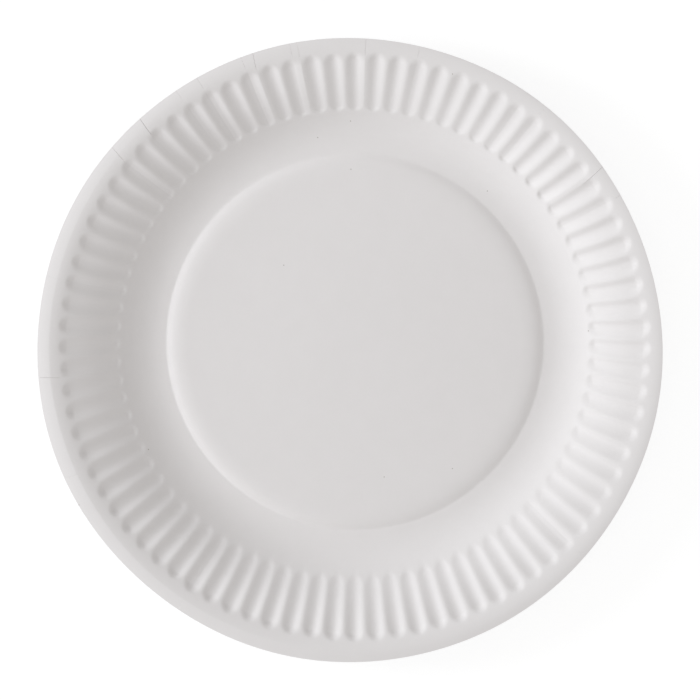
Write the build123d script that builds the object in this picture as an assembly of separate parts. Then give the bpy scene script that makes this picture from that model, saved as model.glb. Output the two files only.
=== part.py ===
from build123d import *
from dataclasses import dataclass
from math import asin, atan, cos, degrees, radians, sin, tan
import os

# A round paper plate, pressed from one disc of board: a raised centre panel, a flat ring that the
# plate stands on, a wall that rises through a cove, a band of flutes round the wall, and a rim that
# turns down past its crest. The origin is on the table under the centre, +Z is up, sizes are in
# millimetres and slopes in degrees, positive where the plate rises outward.

# Overall sizes
plate_diameter = 230.0
plate_height = 15.5  # from the table to the crest
board = 0.4  # thickness of the board
bowl_width = 43.0  # from the outside of the standing ring to the edge

# Widths of the bands, measured along the radius
ring_width = 2.4
step_width = 3.7
cove_width = 12.0
cove_land = 1.0  # plain band between cove and flutes
crest_land = 2.0  # plain band between flutes and crest
lip_width = 2.8

# Slopes
step_slope = -25.0  # where the centre panel's step meets the standing ring
wall_top_slope = 15.0  # at the outer end of the flutes
crest_land_slope = 9.0
lip_slope = -10.0

# Flutes: each is a rounded groove that runs in at its inner end and runs out at its outer end
flute_count = 84
flute_depth = 0.7  # at the outer end of the full channel; it narrows and shallows with the pitch
flute_run_in = 3.0
flute_run_out = 3.6


@dataclass
class Station:
    """A circle on the plate's top face, with the slope just inside it and just outside it."""

    radius: float
    height: float
    slope_in: float
    slope_out: float

    def sunk(self, depth):
        """Radius and height of the point that lies depth under both of the bands that meet here."""
        lean = radians(self.slope_in + self.slope_out) / 2
        mitre = depth / cos(radians(self.slope_out - self.slope_in) / 2)
        return self.radius + mitre * sin(lean), self.height - mitre * cos(lean)


def rise(run, slope_in, slope_out):
    """Height gained over a run along which the slope changes evenly, as it does on an arc."""
    return run * tan(radians(slope_in + slope_out) / 2)


# Radii of the bands, from the edge inward and then up the wall
rim_radius = plate_diameter / 2
crest_radius = rim_radius - lip_width
wall_top_radius = crest_radius - crest_land
ring_radius = rim_radius - bowl_width
ring_inner_radius = ring_radius - ring_width
panel_radius = ring_inner_radius - step_width
wall_foot_radius = ring_radius + cove_width
wall_width = wall_top_radius - wall_foot_radius
flute_radii = [
    wall_foot_radius + cove_land,
    wall_foot_radius + cove_land + flute_run_in,
    wall_top_radius - flute_run_out,
    wall_top_radius,
]


def height_for(wall_slope):
    """Height of the plate for a slope at the foot of the wall."""
    cove = rise(cove_width, 0, wall_slope)
    wall = rise(wall_width, wall_slope, wall_top_slope)
    return board + cove + wall + rise(crest_land, crest_land_slope, crest_land_slope)


def slope_for_height():
    """The slope at the foot of the wall that brings the crest to the plate's height, by halving."""
    shallow, steep = 0.0, 80.0
    while steep - shallow > 1e-9:
        middle = (shallow + steep) / 2
        if height_for(middle) < plate_height:
            shallow = middle
        else:
            steep = middle
    return shallow


wall_slope = slope_for_height()
wall_foot_height = board + rise(cove_width, 0, wall_slope)


def wall_point(radius):
    """Height of the wall's arc at a radius."""
    share = (radius - wall_foot_radius) / wall_width
    sine = sin(radians(wall_slope)) * (1 - share) + sin(radians(wall_top_slope)) * share
    return wall_foot_height + rise(radius - wall_foot_radius, wall_slope, degrees(asin(sine)))


def chord_slope(inner_radius, outer_radius):
    """Slope of the straight line between two points of the wall's arc."""
    climb = wall_point(outer_radius) - wall_point(inner_radius)
    return degrees(atan(climb / (outer_radius - inner_radius)))


# Stations of the plain bands
panel_height = board - rise(step_width, 0, step_slope)
crest_height = wall_point(wall_top_radius) + rise(crest_land, crest_land_slope, crest_land_slope)
rim_height = crest_height + rise(lip_width, lip_slope, lip_slope)
centre = Station(0, panel_height, 0, 0)
panel_edge = Station(panel_radius, panel_height, 0, 0)
ring_inside = Station(ring_inner_radius, board, step_slope, 0)
ring_outside = Station(ring_radius, board, 0, 0)
wall_foot = Station(wall_foot_radius, wall_foot_height, wall_slope, wall_slope)
crest = Station(crest_radius, crest_height, crest_land_slope, lip_slope)
rim = Station(rim_radius, rim_height, lip_slope, lip_slope)

# Stations of the flutes: their two ends, and the two ends of the full channel
bounds = [wall_foot_radius, *flute_radii]
slopes = [chord_slope(inner, outer) for inner, outer in zip(bounds, bounds[1:])] + [crest_land_slope]
flute_stations = [
    Station(radius, wall_point(radius), slope_in, slope_out)
    for radius, slope_in, slope_out in zip(flute_radii, slopes, slopes[1:])
]
flute_start, channel_start, channel_end, flute_end = flute_stations
flute_dips = [0, flute_depth * channel_start.radius / channel_end.radius, flute_depth, 0]


def on_profile(radius, height):
    return Vector(radius, 0, height)


def straight(inner, outer, depth):
    """Profile line of a flat or conical band."""
    return Edge.make_line(on_profile(*inner.sunk(depth)), on_profile(*outer.sunk(depth)))


def shoulder(inner, outer, depth):
    """Profile arc of the step, level at the panel and steepest at the standing ring."""
    start, end = on_profile(*inner.sunk(depth)), on_profile(*outer.sunk(depth))
    return Edge.make_tangent_arc(start, Vector(1, 0, 0), end)


def cove(inner, outer, depth):
    """Profile curve from level to the slope of the wall: a parabola that touches both."""
    start, end = on_profile(*inner.sunk(depth)), on_profile(*outer.sunk(depth))
    corner = Vector(end.X - (end.Z - start.Z) / tan(radians(wall_slope)), 0, start.Z)
    return Edge.make_bezier(start, corner, end)


def face_profile(depth):
    """Profile of one face of the board, without the fluted band."""
    return [
        straight(centre, panel_edge, depth),
        shoulder(panel_edge, ring_inside, depth),
        straight(ring_inside, ring_outside, depth),
        cove(ring_outside, wall_foot, depth),
        straight(wall_foot, flute_start, depth),
        straight(flute_end, crest, depth),
        straight(crest, rim, depth),
    ]


def plain_bands():
    """The bands that are round all the way, on both faces, and the cut edge of the rim."""
    cut_edge = Edge.make_line(on_profile(*rim.sunk(0)), on_profile(*rim.sunk(board)))
    profile = face_profile(0) + face_profile(board) + [cut_edge]
    return [Face.revolve(edge, 360, Axis.Z) for edge in profile]


pitch = 360 / flute_count


def on_circle(radius, height, angle):
    return Vector(radius * cos(radians(angle)), radius * sin(radians(angle)), height)


def round_arc(station, depth, first, last):
    """Arc of a plain circle as one cubic, true to the circle to a millionth of a millimetre."""
    radius, height = station.sunk(depth)
    start, end = on_circle(radius, height, first), on_circle(radius, height, last)
    reach = radius * 4 / 3 * tan(radians(last - first) / 4)
    leave = Vector(-sin(radians(first)), cos(radians(first)), 0) * reach
    arrive = Vector(-sin(radians(last)), cos(radians(last)), 0) * reach
    return Edge.make_bezier(start, start + leave, end - arrive, end)


def flute_arc(station, dip, depth, ridge):
    """Section of a groove, or of the ridge after it, at one station and depth under the top face.

    Groove and ridge are equal arcs that meet a quarter pitch from either's middle. Where they meet
    the board leans sideways, so its lower face lies outward of the point above it.
    """
    half_width = station.radius * radians(pitch / 2)
    flank = 2 * atan(dip / half_width)
    meeting = pitch / 4 * (1 + depth * sin(flank) / (half_width / 2))
    side_depth = dip / 2 + depth * cos(flank)
    if ridge:
        first, middle, last = meeting, pitch / 2, pitch - meeting
        middle_depth = depth
    else:
        first, middle, last = -meeting, 0, meeting
        middle_depth = dip + depth
    if dip == 0:
        return round_arc(station, depth, first, last)
    return Edge.make_three_point_arc(
        on_circle(*station.sunk(side_depth), first),
        on_circle(*station.sunk(middle_depth), middle),
        on_circle(*station.sunk(side_depth), last),
    )


def flute_stretches(depth, ridge):
    """Run-in, full channel and run-out of a groove or a ridge, each ruled between two sections."""
    sections = [
        flute_arc(station, dip, depth, ridge)
        for station, dip in zip(flute_stations, flute_dips)
    ]
    return [
        Face.make_surface_from_curves(inner, outer)
        for inner, outer in zip(sections, sections[1:])
    ]


def fluted_band():
    """Both faces of the fluted band, from one flute repeated round the wall."""
    flute = [
        stretch
        for depth in (0, board)
        for ridge in (False, True)
        for stretch in flute_stretches(depth, ridge)
    ]
    return [
        Rot(Z=pitch * number) * stretch
        for number in range(flute_count)
        for stretch in flute
    ]


def make_plate():
    """The board as one closed sheet of even thickness."""
    return Solid(Shell(fluted_band() + plain_bands()))


plate = make_plate()
os.makedirs("parts", exist_ok=True)
export_step(plate, "parts/plate.step")
print("plate", round(plate.volume), "mm3, wall slope", round(wall_slope, 1))
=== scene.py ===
import math

import bpy
import numpy as np
from mathutils import Matrix, Vector


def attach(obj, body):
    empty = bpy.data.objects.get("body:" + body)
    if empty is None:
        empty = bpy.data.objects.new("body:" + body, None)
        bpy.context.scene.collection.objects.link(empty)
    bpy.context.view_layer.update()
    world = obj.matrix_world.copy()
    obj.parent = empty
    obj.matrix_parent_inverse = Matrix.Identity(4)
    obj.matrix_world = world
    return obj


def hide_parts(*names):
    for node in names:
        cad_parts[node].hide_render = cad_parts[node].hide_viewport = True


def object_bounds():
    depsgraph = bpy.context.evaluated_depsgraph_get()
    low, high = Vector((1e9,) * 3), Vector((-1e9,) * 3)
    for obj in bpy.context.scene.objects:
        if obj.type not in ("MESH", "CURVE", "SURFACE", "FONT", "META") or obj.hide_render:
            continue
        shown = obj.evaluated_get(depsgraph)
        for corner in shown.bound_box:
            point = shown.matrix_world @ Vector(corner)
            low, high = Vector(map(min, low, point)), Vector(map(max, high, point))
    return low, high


# A round paper plate, pressed from one disc of white board, on a pale floor in soft studio light.
# Sizes are in millimetres and angles in degrees, anticlockwise from +X, unless a name says otherwise.
# The form is described about the middle of its pressing, and the disc was trimmed slightly off that
# middle.

MM = 0.001  # in metres
IMAGE_SIDE = 700  # of the picture, in pixels

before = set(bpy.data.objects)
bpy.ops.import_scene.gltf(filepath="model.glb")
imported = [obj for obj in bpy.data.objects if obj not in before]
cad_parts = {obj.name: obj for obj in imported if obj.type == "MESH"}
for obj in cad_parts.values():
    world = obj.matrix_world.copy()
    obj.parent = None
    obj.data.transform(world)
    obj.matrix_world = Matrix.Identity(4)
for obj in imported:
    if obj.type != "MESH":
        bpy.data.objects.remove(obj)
cad_low, cad_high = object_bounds()
board = 0.4

# Outline: the trimmed disc, centred on the origin
rim_radius = round(cad_high[0] / MM, 1)  # as the CAD has it
press_middle = (1.7, 1.05)  # of the pressed form, from the middle of the outline
# lobes round the outline, depth of each, and where one of its high points lies
waviness = [(2, 0.22, 95), (3, 0.10, 60), (5, 0.10, -17), (7, 0.14, -3)]
outline_rounds = 4  # rounds in which the distance to the outline settles

# Profile of the top face
panel_flat = 61.0
ring_inner = 70.0
ring_outer = 72.0
wall_foot = 85.5
wall_head = 108.0
crest_radius = 112.3
profile_end = 119.0
crest_slope_in = 6
crest_slope_out = -0.3
corner_gap = 0.01  # from the crest to where each of its two slopes holds
profile_spacing = 0.02  # of the points at which the profile is worked out
# radius and slope, positive where the plate rises outwards; the slope changes evenly from row to row
slope_steps = [
    (0, 0),
    (panel_flat, 0),
    (65.5, -6.9),
    (67.2, -15.4),
    (68.5, -22),
    (69.3, -20),
    (ring_inner, 1),
    (ring_outer, 0.3),
    (wall_foot, 31.3),
    (92.5, 29),
    (99, 22),
    (wall_head, 15),
    (crest_radius - corner_gap, crest_slope_in),
    (crest_radius + corner_gap, crest_slope_out),
    (profile_end, -12),
]

# Panel and ring, which differ a little from round and level
panel_stretch = 0.003  # how much longer they are along Y
panel_drift = (-0.05, 0.92)  # where they lie, from the middle of the pressing
panel_drift_end = 100  # circle by which the form is back on that middle
panel_saddle = 0.15  # of the step's height: how much higher the panel's edge is along X, and lower along Y
panel_saddle_start = 10  # circle from which it is
panel_tilt = 0.33  # of the step's height: how much lower the panel's edge is towards one side
panel_tilt_toward = 0  # that side
step_delay = 0.3  # how much later and steeper the step falls towards -X

# Crest and rim
# lobes of the rim's height round the plate, how high each is, and where one of its high points lies
warps = [(2, 0.25, 20), (3, 0.10, -50)]
crest_round = 1.5  # half the width over which the crest is rounded
crest_round_crisp = 0.2  # the same where the press left a crisp line
crest_lift_crisp = 0.09  # how much higher the crest stands there
crisp_middle = 200
crisp_half_span = 75
crisp_core = 0.6  # share of the half span where the line is crisp in full
rim_start = 106.8  # circle from which the rim changes round the plate
rim_shift_short = 1.5  # how far short of the crest the rim has moved in fully
rim_turn_run = 1.0  # distance over which its slope turns
# round the rim: angle, how much steeper it rises to the crest and past it, how much further in the crest is
rim_changes = [
    (0, 0, 0, 0), (40, 0, 1.2, 0), (80, -0.5, 1.0, 0.05), (120, -2.4, -0.8, 0.3), (150, -3.0, 0.2, 0.5),
    (168, -2.3, 0.8, 0.4), (185, -0.3, 1.2, 0.1), (210, 1.2, 2.0, 0.15), (225, 1.3, 1.6, 0.05),
    (240, 1.2, 0.9, 0), (265, 0.8, 0.2, 0), (290, 0, 0, 0),
]

# Flutes: rounded grooves pressed into the wall
flute_count = 84
flute_centre = (0.2, 0.38)  # which they run towards, from the middle of the pressing
flute_turn = 0.0  # angle of the first groove
flute_depth = 0.93  # at the outer end
flute_power = 0.9  # of their section: a wave at 1, and below that the grooves are wider than the ridges
flute_inner_end = 86.6
flute_outer_end = 109.35
flute_spread = 0.05  # how much the flutes differ in depth, each way
flute_shift_spread = 0.03  # in place, as an angle
flute_reach_spread = 0.25  # and in where their outer ends lie
# round the wall: angle, and how much of their depth the grooves have at the inner end
flute_inner_shares = [
    (0, 0.47), (60, 0.51), (90, 0.55), (120, 0.61), (150, 0.48), (180, 0.47), (210, 0.46), (240, 0.345),
    (270, 0.375), (300, 0.42), (330, 0.43),
]
# round the wall: angle, and how much deeper the grooves are than the rest
depth_changes = [
    (0, -0.03), (30, -0.08), (60, -0.12), (90, -0.11), (120, 0.04), (150, 0.02), (180, 0.05), (210, 0.3),
    (240, 0.09), (270, 0.11), (300, 0.23), (330, -0.08),
]
# round the wall: angle, and how far the grooves stand from an even spacing, as an angle
groove_shifts = [
    (0, 0), (15, 0.06), (60, 0.06), (90, 0), (120, -0.15), (150, -0.22), (180, 0), (200, 0.22), (225, 0.16),
    (255, 0.04), (285, -0.1), (315, -0.1), (340, -0.03),
]
# round the wall: angle, and how much steeper one side of each groove is, the side towards the next if above 0
skews = [
    (0, 0.5), (15, 0.32), (35, 0.1), (60, 0.03), (90, -0.05), (120, -0.22), (150, -0.25), (180, 0),
    (210, 0.12), (240, 0.15), (300, 0.15), (330, 0.2),
]
skew_place = 1.9  # in radians of the groove's wave: where the steeper side lies

# Inner ends of the grooves
flute_inner_run = 1.7  # length over which they run in
flute_inner_run_low = 3.6  # towards -Y
low_sines = (0.2, 0.9)  # how far towards -Y that begins and holds in full, as a sine
inner_end_out = 0.3  # how much further out the grooves start elsewhere
inner_end_out_firm = 0.4  # and further again where the press came down harder
end_rounding_in = 2.2  # how far a groove's sides stop short of its middle

# Outer ends of the grooves
flute_outer_run = 3.2  # length over which they run out
end_rounding_out = 2.6  # how far a groove's sides stop short of its middle
outer_end_short = 0.15  # how far short of their circle they end
outer_end_x = 0.08  # how much further out towards +X
outer_end_y = 0.05  # and towards +Y
outer_end_along_x = 0.15  # how much further in at both ends of the X axis, and out at both ends of Y

# Where the press came down harder, round one angle
firm_middle = 18
firm_half_span = 60
firm_core = 0.3  # share of the half span where that holds in full
firm_extra = 0.18  # how much deeper the flutes are
firm_inner = 0.46  # how much more of their depth they have at their inner ends

# Where the grooves have flat floors with narrow ridges between, round another angle
flat_middle = 2
flat_half_span = 50
flat_core = 0.3  # share of the half span where that holds in full
flat_power = 0.85
flat_rounding = 1.2  # how far a groove's sides stop short of its middle
flat_inner_run = 2.0  # length over which a groove runs in, at its steeper side
flat_inner_run_long = 4.4  # and at the other side
flat_run_blend = 0.3  # in pitches, from a groove's middle to where each side's length holds
flat_lift = 0.36  # how much higher the wall stands at the grooves' inner ends
flat_lift_start = (84.5, 91.5)  # circles between which it comes
flat_lift_end = (98, 109)  # and goes

# Fold lines in the rim
# angle, inner radius, depth, and how far it bends aside on its way to the outline, as an angle
folds = [
    (30.2, 109.5, 0.12, 0.1), (35.9, 104.5, 0.2, 1.0), (51.8, 109.5, 0.08, 0.1), (56, 109.5, 0.05, 0.1),
    (77.8, 108.5, 0.1, 0.1), (87.9, 107, 0.14, -0.1), (100.55, 108.5, 0.12, 0), (101.9, 108.5, 0.1, 0),
    (109.3, 108, 0.18, -0.7), (111.1, 109.5, 0.1, 0.1), (120, 109.5, 0.12, 0.1), (124.5, 110.5, 0.08, -0.1),
    (133.5, 107.3, 0.22, -0.9), (140.75, 108.4, 0.18, -0.85), (166.7, 110.5, 0.05, -0.1),
    (185.8, 108, 0.17, -0.7), (204.6, 110.5, 0.08, -0.15), (236, 110.5, 0.05, 0.1), (318, 110.5, 0.05, 0.1),
    (351, 108.5, 0.06, -0.15),
]
fold_half_width = 0.045  # as an angle
fold_fade = 1.6  # length over which a fold deepens from its inner end
fold_bend_span = 1.4  # angle over which the mesh's columns beside a fold bend less and less
fold_bend_core = 0.1  # share of that angle, next to the fold, where they bend in full

# Mesh: rings about the middle of the pressing, the same for the top face and the underside
columns_per_flute = 12
columns = flute_count * columns_per_flute
coarse = 4  # columns of the outer rings to one of the inner rings
inner_columns = columns // coarse
# radii of the rings, which lie closer together where the form is finer
inner_rings = np.concatenate([
    [20, 40, 54],
    np.arange(panel_flat, 67, 0.75),
    np.arange(67.3, 70.4, 0.3),
    [71, ring_outer, 73.5],
    np.arange(75, 84.6, 1.6),
])
outer_rings = np.concatenate([
    np.arange(85.2, 89.6, 0.4),
    np.arange(91, 105, 2.0),
    np.arange(105.6, 110.2, 0.38),
    [110.6, 111.3, crest_radius - 0.25, crest_radius],
])
lip_shares = [0.055, 0.25, 0.5, 0.75, 1.0]  # how far from the crest to the outline the last rings lie
lip_rounds = 3  # rounds in which the columns' bend and the outline settle together
slope_reach = 0.05  # half the distance over which the slope is measured
crease_angle = 28  # from which an edge of the mesh is sharp


def between(low, high, x):
    """0 below low, 1 above high, and smooth between."""
    share = np.clip((x - low) / (high - low), 0, 1)
    return share * share * (3 - 2 * share)


def turn_between(a, b):
    """Signed angle from b to a."""
    return (a - b + 180) % 360 - 180


def patch(angle, middle, half_span, core):
    """1 round a middle angle, 0 beyond the half span, and smooth between."""
    return 1 - between(half_span * core, half_span, np.abs(turn_between(angle, middle)))


def at_angle(angle, table):
    """What a table of angles and values gives at an angle, with even changes between its rows."""
    return np.interp(angle, *zip(*table), period=360)


def fine_profile():
    """Radii and heights of the round profile, from the middle outwards."""
    radii = np.arange(0, profile_end, profile_spacing)
    slopes = np.interp(radii, *zip(*slope_steps))
    heights = np.concatenate([[0], np.cumsum(np.tan(np.radians(slopes[:-1])) * profile_spacing)])
    return radii, heights + board - np.interp(ring_inner, radii, heights)


fine_radii, fine_heights = fine_profile()
pitch = 360 / flute_count
flute_angles = pitch * np.arange(flute_count)
rng = np.random.default_rng(84)
flute_share = 1 + flute_spread * rng.uniform(-1, 1, flute_count) + at_angle(flute_angles, depth_changes)
flute_shift = flute_shift_spread * rng.uniform(-1, 1, flute_count) + at_angle(flute_angles, groove_shifts)
flute_reach = flute_reach_spread * rng.uniform(-1, 1, flute_count)


def rim_change(angle):
    """How much steeper the rim rises to the crest and past it, and how much further in the crest lies."""
    where, *changes = zip(*rim_changes)
    return [np.interp(angle, where, change, period=360) for change in changes]


def rim_shift(radius, inward):
    """How far in a circle of the rim moves where the crest lies further in."""
    return inward * between(rim_start, crest_radius - rim_shift_short, radius)


def crest_change(radius, angle, steeper, steeper_past):
    """What the rim adds to the profile: a crest that is rounded, or crisp and higher, and its own slopes."""
    crisp = patch(angle, crisp_middle, crisp_half_span, crisp_core)
    half = crest_round + (crest_round_crisp - crest_round) * crisp
    slope_in = np.tan(np.radians(crest_slope_in + steeper))
    slope_out = np.tan(np.radians(crest_slope_out + steeper_past))
    loss = (slope_in - slope_out) * np.clip(half - np.abs(radius - crest_radius), 0, None) ** 2 / (4 * half)
    lift = crest_lift_crisp * np.clip((radius - wall_head) / (crest_radius - wall_head), 0, 1) ** 2
    run = np.clip(radius - rim_start, 0, crest_radius - rim_start)
    past = np.clip(radius - crest_radius, 0, None)
    turned = np.tan(np.radians(steeper)) * run ** 2 / (run + rim_turn_run)
    turned = turned + np.tan(np.radians(steeper_past)) * past
    return crisp * lift - loss + turned


def groove_section(across, angle, flat):
    """Share of its depth that a groove has at a place across it, given in pitches from its middle."""
    turned = 2 * math.pi * across
    skew = at_angle(angle, skews)
    side = np.sign(skew) * skew_place
    turned = turned + np.abs(skew) * (np.sin(turned - side) + np.sin(side))
    return (0.5 + 0.5 * np.cos(turned)) ** (flute_power + (flat_power - flute_power) * flat)


def groove_run_in(radius, angle, across, firm, flat):
    """Share of its depth that a groove has at its inner end, 0 before it and 1 past it."""
    low = between(*low_sines, -np.sin(np.radians(angle)))
    rounding = end_rounding_in + (flat_rounding - end_rounding_in) * flat
    start = flute_inner_end + (inner_end_out + inner_end_out_firm * firm) * (1 - low)
    start = start + rounding * (2 * across) ** 2
    run = flute_inner_run + (flute_inner_run_low - flute_inner_run) * low
    gentle = between(-flat_run_blend, flat_run_blend, -across)
    run = run + (flat_inner_run + (flat_inner_run_long - flat_inner_run) * gentle - run) * flat
    return between(start - run / 2, start + run / 2, radius)


def groove_run_out(radius, angle, across, reach):
    """Share of its depth that a groove has at its outer end, 1 before it and 0 past it."""
    around = np.radians(angle)
    finish = flute_outer_end - end_rounding_out * (2 * across) ** 2 + reach
    finish = finish - outer_end_short + outer_end_x * np.cos(around) + outer_end_y * np.sin(around)
    finish = finish - outer_end_along_x * np.cos(2 * around)
    return 1 - between(finish - flute_outer_run, finish, radius)


def groove(x, y):
    """How far the flutes lie under the plain wall, less what that wall stands higher where they are flat."""
    radius = np.hypot(x, y)
    angle = np.degrees(np.arctan2(y - flute_centre[1], x - flute_centre[0]))
    number = np.round((angle - flute_turn) / pitch).astype(int) % flute_count
    across = turn_between(angle, flute_turn + number * pitch + flute_shift[number]) / pitch
    firm = patch(angle, firm_middle, firm_half_span, firm_core)
    flat = patch(angle, flat_middle, flat_half_span, flat_core)
    along = groove_run_in(radius, angle, across, firm, flat)
    along = along * groove_run_out(radius, angle, across, flute_reach[number])
    inner_share = at_angle(angle, flute_inner_shares) + firm_inner * firm
    outward = np.clip((radius - flute_inner_end) / (flute_outer_end - flute_inner_end), 0, 1)
    growth = inner_share + (1 - inner_share) * outward
    depth = flute_depth * flute_share[number] * growth * groove_section(across, angle, flat) * along
    lift = flat_lift * flat * between(*flat_lift_start, radius) * (1 - between(*flat_lift_end, radius))
    return depth * (1 + firm_extra * firm) - lift


def fold_aside(radius, inner, bend):
    """How far a fold has bent aside at a radius, as an angle."""
    return bend * np.clip((radius - inner) / (profile_end - inner), 0, 1)


def fold_bend(radius, angle):
    """How far the columns of the mesh go aside with the folds, as an angle."""
    total = np.zeros_like(angle)
    for where, inner, _, bend in folds:
        away = np.abs(turn_between(angle, where)) / fold_bend_span
        total += fold_aside(radius, inner, bend) * np.clip(1 + fold_bend_core - away, 0, 1)
    return total


def fold_depth(radius, angle):
    """Sharp little slits where the board folded on itself as it was pressed."""
    total = np.zeros_like(radius)
    for where, inner, depth, bend in folds:
        away = np.abs(turn_between(angle, where + fold_aside(radius, inner, bend)))
        total += depth * np.clip(1 - away / fold_half_width, 0, 1) * between(inner, inner + fold_fade, radius)
    return total


def height(x, y):
    """Height of the top face over a point, measured from the middle of the pressing."""
    drift = 1 - between(ring_outer, panel_drift_end, np.hypot(x, y))
    x = x - panel_drift[0] * drift
    y = (y - panel_drift[1] * drift) * (1 - panel_stretch * drift)
    radius = np.hypot(x, y)
    angle = np.degrees(np.arctan2(y, x))
    around = np.radians(angle)

    # the circle of the round profile that this place takes its height from
    steeper, steeper_past, inward = rim_change(angle)
    share = np.clip((radius - panel_flat) / (ring_inner - panel_flat), 0, 1)
    delay = 1 + step_delay * (0.5 - 0.5 * np.cos(around)) ** 2
    place = radius + (ring_inner - panel_flat) * (share ** delay - share) + rim_shift(radius, inward)

    level = np.interp(place, fine_radii, fine_heights)
    raised = np.where(radius < ring_inner, level - board, 0)
    saddle = panel_saddle * np.cos(2 * around) * between(panel_saddle_start, panel_flat, radius)
    tilt = panel_tilt * radius / panel_flat * np.cos(np.radians(angle - panel_tilt_toward))
    level = level + (saddle - tilt) * raised
    level = level + crest_change(np.maximum(place, radius), angle, steeper, steeper_past) - groove(x, y)
    warp = sum(rise * np.cos(lobes * np.radians(angle - high)) for lobes, rise, high in warps)
    return level + warp * between(ring_outer, crest_radius, radius)


def rim_distance(angle):
    """Distance from the middle of the pressing to the trimmed outline."""
    direction = np.stack([np.cos(np.radians(angle)), np.sin(np.radians(angle))])
    along = press_middle[0] * direction[0] + press_middle[1] * direction[1]
    distance = np.full_like(along, rim_radius)
    for _ in range(outline_rounds):
        bearing = np.degrees(np.arctan2(
            press_middle[1] + distance * direction[1], press_middle[0] + distance * direction[0]
        ))
        outline = rim_radius + sum(
            depth * np.cos(np.radians(lobes * (bearing - high))) for lobes, depth, high in waviness
        )
        distance = -along + np.sqrt(along ** 2 - press_middle[0] ** 2 - press_middle[1] ** 2 + outline ** 2)
    return distance


def ring_columns():
    """Angle of each column, and the radius from which it is a crease: three columns lie on each fold."""
    angles = np.arange(columns) * 360 / columns
    starts = np.full(columns, np.inf)
    for where, inner, _, _ in folds:
        nearest = int(round(where / 360 * columns)) % columns
        for side in (-1, 0, 1):
            column = (nearest + side) % columns
            angles[column] = where + side * fold_half_width
            starts[column] = inner
    return angles, starts


def ring_points(radius, angle):
    """Points at some angles of a ring, whose radius may differ from one to the next."""
    return np.stack([radius * np.cos(np.radians(angle)), radius * np.sin(np.radians(angle))], axis=1)


def plan_points(angles):
    """The points of one face as seen from above: its middle, and then ring by ring."""
    inward = rim_change(angles)[2]
    rings = [np.zeros((1, 2))]
    for radius in inner_rings:
        rings.append(ring_points(radius, angles[::coarse]))
    for radius in outer_rings:
        moved = radius - rim_shift(radius, inward)
        rings.append(ring_points(moved, angles + fold_bend(moved, angles)))
    crest_ring = outer_rings[-1] - inward
    for share in lip_shares:
        bent = angles
        for _ in range(lip_rounds):
            moved = crest_ring + share * (rim_distance(bent) - crest_ring)
            bent = angles + fold_bend(moved, angles)
        rings.append(ring_points(moved, bent))
    return np.concatenate(rings)


def board_points(x, y):
    """Points of the top face and the underside, which lies the board's thickness under it everywhere."""
    slope_x = (height(x + slope_reach, y) - height(x - slope_reach, y)) / (2 * slope_reach)
    slope_y = (height(x, y + slope_reach) - height(x, y - slope_reach)) / (2 * slope_reach)
    normals = np.stack([-slope_x, -slope_y, np.ones_like(x)], axis=1)
    normals /= np.linalg.norm(normals, axis=1)[:, None]
    top = np.stack([x, y, height(x, y)], axis=1)
    under = top - board * normals
    top[:, 2] -= fold_depth(np.hypot(x, y), np.degrees(np.arctan2(y, x)))
    return np.concatenate([top, under])


def band(first, second, size):
    """Faces between two rings of the same size, given by their first points."""
    return [
        (first + i, second + i, second + (i + 1) % size, first + (i + 1) % size)
        for i in range(size)
    ]


def side_faces():
    """Faces of one side of the board, and the first point of its outer rings, counted from its middle."""
    faces = [(0, 1 + i, 1 + (i + 1) % inner_columns) for i in range(inner_columns)]
    start = 1
    for _ in inner_rings[1:]:
        faces += band(start, start + inner_columns, inner_columns)
        start += inner_columns
    outer_start = start + inner_columns
    for i in range(inner_columns):
        here = start + i
        after = start + (i + 1) % inner_columns
        for k in range(coarse):
            outer = coarse * i + k
            corner = here if k < coarse / 2 else after
            faces.append((corner, outer_start + outer, outer_start + (outer + 1) % columns))
        faces.append((here, outer_start + coarse * i + coarse // 2, after))
    for ring in range(len(outer_rings) + len(lip_shares) - 1):
        start = outer_start + ring * columns
        faces += band(start, start + columns, columns)
    return faces, outer_start


def mark_folds(mesh, distance, count, outer_start, fold_starts):
    """Makes the top face's columns sharp where they are creases. Other sharp edges stay."""
    ends = np.empty(2 * len(mesh.edges), dtype=np.int32)
    mesh.edges.foreach_get("vertices", ends)
    near, far = np.sort(ends.reshape(-1, 2)).T
    creased = (far - near == columns) & (near >= outer_start) & (far < count)
    creased[creased] = distance[far[creased]] > fold_starts[(near[creased] - outer_start) % columns]
    sharp = np.empty(len(mesh.edges), dtype=bool)
    mesh.attributes["sharp_edge"].data.foreach_get("value", sharp)
    mesh.attributes["sharp_edge"].data.foreach_set("value", sharp | creased)


def plate_mesh():
    """The board as one closed sheet, placed so that its outline is centred on the origin."""
    angles, fold_starts = ring_columns()
    x, y = plan_points(angles).T
    points = board_points(x, y)
    points[:, 0] += press_middle[0]
    points[:, 1] += press_middle[1]

    faces, outer_start = side_faces()
    count = len(x)
    edge = count - columns
    faces += [tuple(count + point for point in reversed(face)) for face in faces]
    faces += band(edge, count + edge, columns)

    mesh = bpy.data.meshes.new("paper_plate")
    mesh.from_pydata((points * MM).tolist(), [], faces)
    mesh.validate()
    mesh.polygons.foreach_set("use_smooth", [True] * len(mesh.polygons))
    mesh.set_sharp_from_angle(angle=math.radians(crease_angle))
    mark_folds(mesh, np.hypot(x, y), count, outer_start, fold_starts)
    return mesh


def node(tree, kind, inputs=None, **settings):
    """A new node of a tree, with values or other nodes' sockets for its inputs."""
    made = tree.nodes.new(kind)
    for name, value in settings.items():
        setattr(made, name, value)
    for socket, value in (inputs or {}).items():
        if isinstance(value, bpy.types.NodeSocket):
            tree.links.new(value, made.inputs[socket])
        else:
            made.inputs[socket].default_value = value
    return made


def maths(tree, operation, *values):
    """Output of a new math node."""
    return node(tree, "ShaderNodeMath", dict(enumerate(values)), operation=operation).outputs[0]


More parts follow.
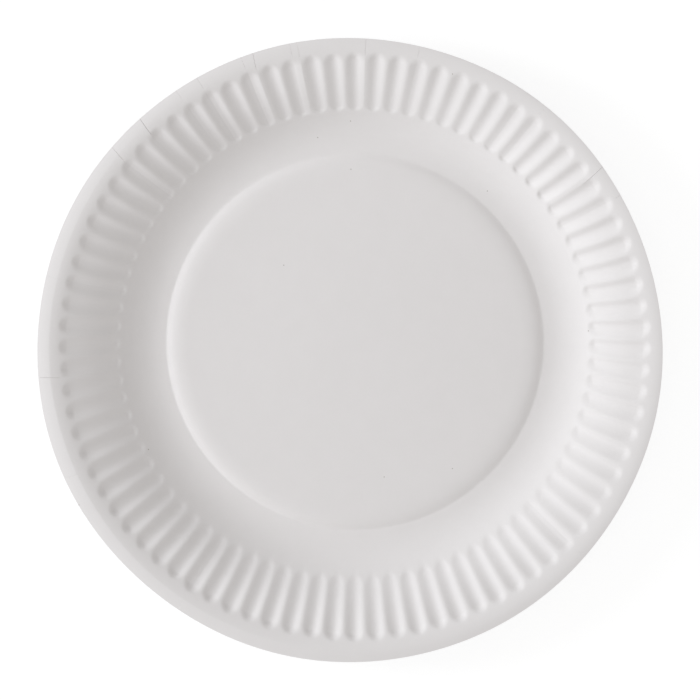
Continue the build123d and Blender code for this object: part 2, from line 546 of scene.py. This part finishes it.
def blend(tree, share, first, second, **settings):
    """Output of a new node that mixes two colours."""
    inputs = {"Fac": share, "Color1": first, "Color2": second}
    return node(tree, "ShaderNodeMixRGB", inputs, **settings).outputs["Color"]


def new_material(name):
    """A new material with no nodes yet."""
    material = bpy.data.materials.new(name)
    material.use_nodes = True
    material.node_tree.nodes.clear()
    return material


def new_object(name, data):
    """A new object in the scene."""
    made = bpy.data.objects.new(name, data)
    bpy.context.collection.objects.link(made)
    return made


# Paperboard: white with a faint cloudiness, fine fibres and a few dark specks; scales are to a metre
cloud_colours = (0.797, 0.775, 0.769, 1), (0.822, 0.800, 0.795, 1)
cloud_noise = {"Scale": 130, "Detail": 3, "Roughness": 0.55}
fibre_shades = (0.975, 0.975, 0.975, 1), (1.0, 1.0, 1.0, 1)
fibre_noise = {"Scale": 1400, "Detail": 4, "Roughness": 0.65}
grain_strength = 0.25
grain_depth = 0.06
speck_colour = (0.52, 0.49, 0.46, 1)
speck_scale = 80  # of the cells that may each hold a speck
speck_share = 0.036  # of the cells that do
speck_size = 0.018  # of a cell
board_roughness = 0.72
board_ior = 1.45
board_specular = 0.25


def specks(tree, place):
    """1 on a speck and 0 elsewhere."""
    spots = node(
        tree, "ShaderNodeTexVoronoi", {"Vector": place, "Scale": speck_scale}, voronoi_dimensions="2D"
    )
    lot = node(tree, "ShaderNodeSeparateXYZ", {0: spots.outputs["Color"]}).outputs["X"]
    chosen = maths(tree, "LESS_THAN", lot, speck_share)
    close = maths(tree, "LESS_THAN", spots.outputs["Distance"], speck_size)
    return maths(tree, "MULTIPLY", chosen, close)


def paperboard():
    material = new_material("white_paperboard")
    tree = material.node_tree
    place = node(tree, "ShaderNodeTexCoord").outputs["Object"]
    cloud = node(tree, "ShaderNodeTexNoise", {"Vector": place, **cloud_noise}).outputs["Fac"]
    fibre = node(tree, "ShaderNodeTexNoise", {"Vector": place, **fibre_noise}).outputs["Fac"]
    cloudy = blend(tree, cloud, *cloud_colours)
    fibrous = blend(tree, 1.0, cloudy, blend(tree, fibre, *fibre_shades), blend_type="MULTIPLY")
    grain = node(tree, "ShaderNodeBump", {
        "Height": fibre, "Strength": grain_strength, "Distance": grain_depth * MM,
    })
    surface = node(tree, "ShaderNodeBsdfPrincipled", {
        "Base Color": blend(tree, specks(tree, place), fibrous, speck_colour),
        "Roughness": board_roughness,
        "IOR": board_ior,
        "Specular IOR Level": board_specular,
        "Normal": grain.outputs["Normal"],
    })
    node(tree, "ShaderNodeOutputMaterial", {"Surface": surface.outputs["BSDF"]})
    return material


# Floor: pale where it lights the plate, and near white where it is seen, with the plate's shadow on it
floor_half = 3000
floor_pale = (0.80, 0.80, 0.80, 1)
floor_seen = (0.20, 0.20, 0.20, 1)
floor_glow = 0.867
white = (1, 1, 1, 1)


def seen(tree):
    """1 for rays that see the background, straight or through gloss or glass, and 0 for the rest."""
    path = node(tree, "ShaderNodeLightPath").outputs
    straight_or_gloss = maths(tree, "MAXIMUM", path["Is Camera Ray"], path["Is Glossy Ray"])
    return maths(tree, "MAXIMUM", straight_or_gloss, path["Is Transmission Ray"])


def mixed(tree, share, first, second):
    """Output of a new node that mixes two shaders."""
    inputs = {0: share, 1: first.outputs[0], 2: second.outputs[0]}
    return node(tree, "ShaderNodeMixShader", inputs).outputs[0]


def floor_material():
    material = new_material("pale_floor")
    tree = material.node_tree
    plain = node(tree, "ShaderNodeBsdfDiffuse", {"Color": floor_pale})
    soft = node(tree, "ShaderNodeBsdfDiffuse", {"Color": floor_seen})
    glow = node(tree, "ShaderNodeEmission", {"Color": white, "Strength": floor_glow})
    shown = node(tree, "ShaderNodeAddShader", {0: soft.outputs[0], 1: glow.outputs[0]})
    node(tree, "ShaderNodeOutputMaterial", {"Surface": mixed(tree, seen(tree), plain, shown)})
    return material


def floor_mesh():
    corners = [(-1, -1), (1, -1), (1, 1), (-1, 1)]
    mesh = bpy.data.meshes.new("floor")
    mesh.from_pydata([(x * floor_half * MM, y * floor_half * MM, 0) for x, y in corners], [], [(0, 1, 2, 3)])
    return mesh


# Lamp: one soft key light, low at the left
key_azimuth = 170
key_elevation = 21.5
key_distance = 1350
key_width = 500
key_height = 600
key_watts = 14.2
key_colour = (0.972, 1.0, 1.035)


def add_lamp():
    flat_share = math.cos(math.radians(key_elevation))
    toward = Vector((
        math.cos(math.radians(key_azimuth)) * flat_share,
        math.sin(math.radians(key_azimuth)) * flat_share,
        math.sin(math.radians(key_elevation)),
    ))
    data = bpy.data.lights.new("key", "AREA")
    data.shape = "RECTANGLE"
    data.size = key_width * MM
    data.size_y = key_height * MM
    data.energy = key_watts
    data.color = key_colour
    lamp = new_object("key", data)
    lamp.location = toward * key_distance * MM
    lamp.rotation_mode = "QUATERNION"
    lamp.rotation_quaternion = toward.to_track_quat("Z", "Y")
    lamp.visible_camera = False


# Room: even light from all round, stronger from overhead, a little stronger from +X and from -Y
ambient = 0.29
ambient_along = {"Z": 0.438, "X": 0.098, "Y": -0.15}  # how much each axis adds
ambient_colour = (1.012, 1.0, 0.99, 1)
background_strength = 1.0  # at which white is white in the picture


def add_room():
    world = bpy.data.worlds.new("studio")
    world.use_nodes = True
    tree = world.node_tree
    tree.nodes.clear()
    outward = node(tree, "ShaderNodeTexCoord").outputs["Generated"]
    parts = node(tree, "ShaderNodeSeparateXYZ", {0: outward}).outputs
    level = ambient
    for axis, gain in ambient_along.items():
        level = maths(tree, "MULTIPLY_ADD", parts[axis], gain, level)
    room = node(tree, "ShaderNodeBackground", {"Color": ambient_colour, "Strength": level})
    plain = node(tree, "ShaderNodeBackground", {"Color": white, "Strength": background_strength})
    node(tree, "ShaderNodeOutputWorld", {"Surface": mixed(tree, seen(tree), room, plain)})
    bpy.context.scene.world = world


# Camera: nearly overhead, on a long lens, with +Y up in the picture
camera_lean_x = 1.2  # how far it stands off the vertical towards +X
camera_lean_y = 6.0  # and towards +Y
camera_distance = 2200
camera_aim = (0.13, 0.56, 14.5)  # the point in the middle of the picture
camera_sensor = 36.0
camera_clip = (50, 20000)
outline_pixels = 313.2  # radius of the outline in the picture


def add_camera():
    back = Vector((
        math.tan(math.radians(camera_lean_x)), math.tan(math.radians(camera_lean_y)), 1,
    )).normalized()
    right = Vector((0, 1, 0)).cross(back).normalized()
    data = bpy.data.cameras.new("camera")
    data.sensor_width = camera_sensor
    data.lens = camera_sensor * camera_distance * outline_pixels / (IMAGE_SIDE * rim_radius)
    data.clip_start = camera_clip[0] * MM
    data.clip_end = camera_clip[1] * MM
    camera = new_object("camera", data)
    camera.location = (Vector(camera_aim) + back * camera_distance) * MM
    camera.rotation_mode = "QUATERNION"
    camera.rotation_quaternion = Matrix((right, back.cross(right), back)).transposed().to_quaternion()
    bpy.context.scene.camera = camera


plate = new_object("paper_plate", plate_mesh())
plate.data.materials.append(paperboard())
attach(plate, "root")
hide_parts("plate")

floor = new_object("floor", floor_mesh())
floor.data.materials.append(floor_material())

add_lamp()
add_room()
add_camera()
bpy.context.scene.view_settings.view_transform = "Standard"
